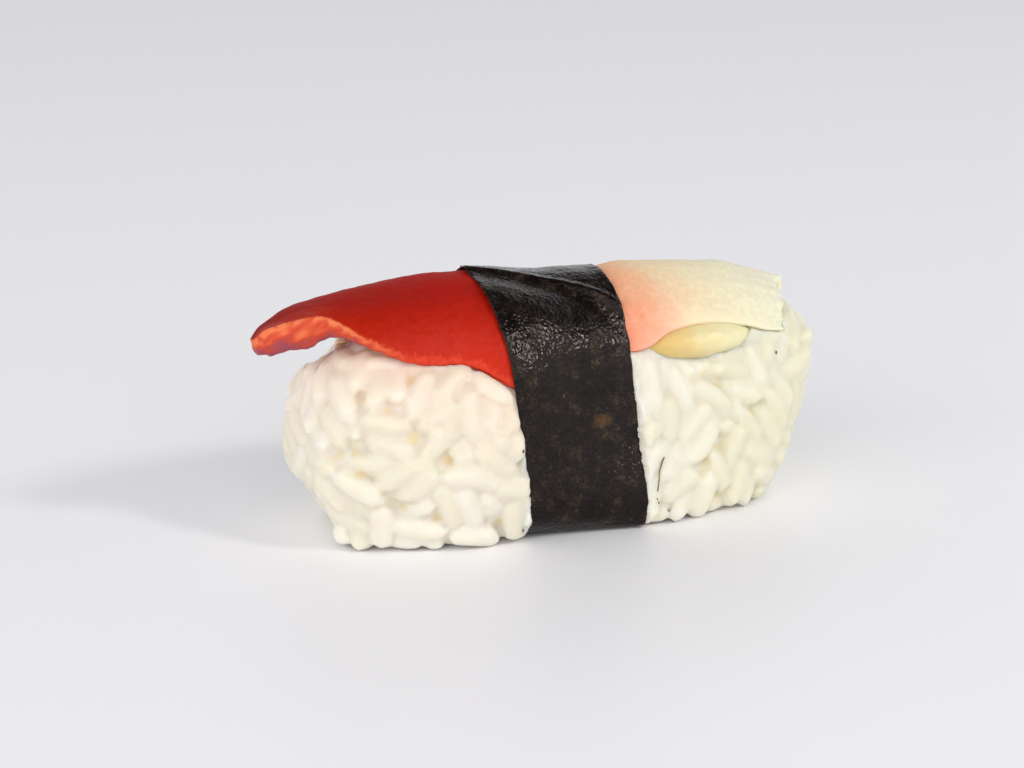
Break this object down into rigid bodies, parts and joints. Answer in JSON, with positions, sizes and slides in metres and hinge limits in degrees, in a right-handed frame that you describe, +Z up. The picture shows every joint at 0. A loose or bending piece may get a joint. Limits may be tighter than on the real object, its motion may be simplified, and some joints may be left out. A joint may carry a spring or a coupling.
{
  "type": "surf clam nigiri sushi",
  "caption": "Pressed block of sushi rice topped with an opened slice of red-tipped surf clam and wrapped round the middle with a strip of roasted seaweed.",
  "frame": {"origin": "centre of the underside of the bounding box, on the plane it stands on", "axes": "+Z up, +X along the rice block from the clam's red tip to its pale base, -Y towards the front"},
  "size_m": [0.0656, 0.0292, 0.0272],
  "materials": {
    "cooked_rice": "moist",
    "clam_flesh": "moist satin",
    "roasted_seaweed": "rough with a dull sheen"
  },
  "bodies": {
    "root": {"rice": "cooked_rice", "clam": "clam_flesh", "nori_band": "roasted_seaweed"}
  },
  "joints": []
}
